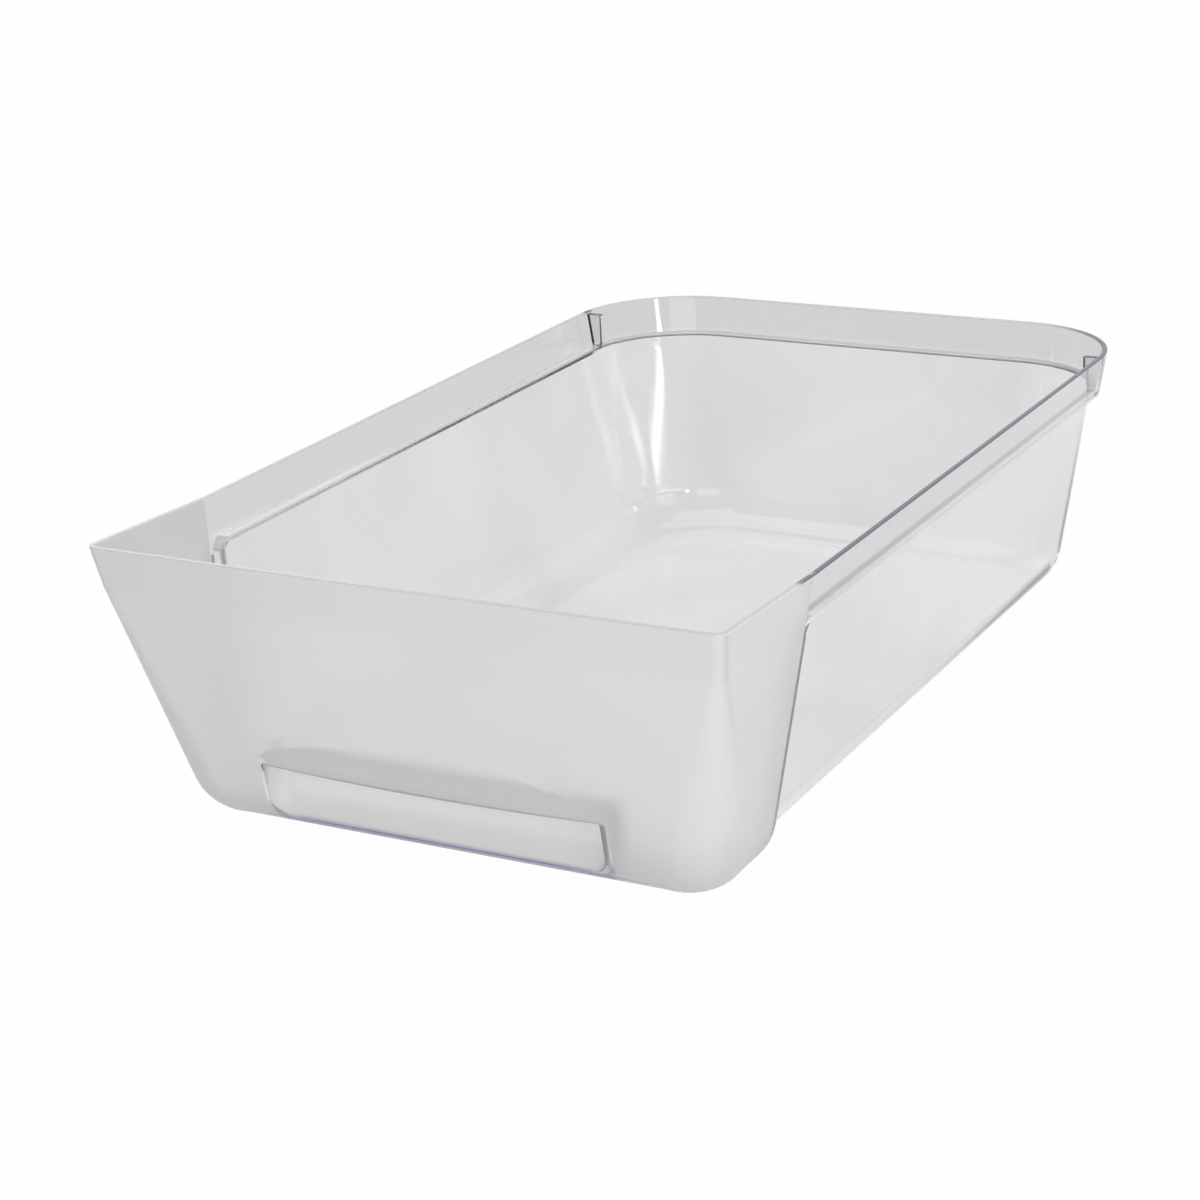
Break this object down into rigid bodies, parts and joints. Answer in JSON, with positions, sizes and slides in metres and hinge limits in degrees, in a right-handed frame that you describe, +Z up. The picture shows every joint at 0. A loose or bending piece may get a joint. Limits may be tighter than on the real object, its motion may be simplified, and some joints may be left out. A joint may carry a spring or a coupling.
{
  "type": "refrigerator meat drawer",
  "caption": "Clear moulded refrigerator meat drawer: open tub, leaning satin front with a hooded finger pull, runner ledges along the sides.",
  "frame": {"origin": "middle of the footprint of the drawer's outer box, on its underside", "axes": "+Z up, -Y towards the front with the finger pull, +Y into the refrigerator, X across"},
  "size_m": [0.282, 0.472, 0.124],
  "materials": {
    "clear_plastic": "clear and glossy, with a satin front"
  },
  "bodies": {
    "root": {"drawer": "clear_plastic"}
  },
  "joints": []
}
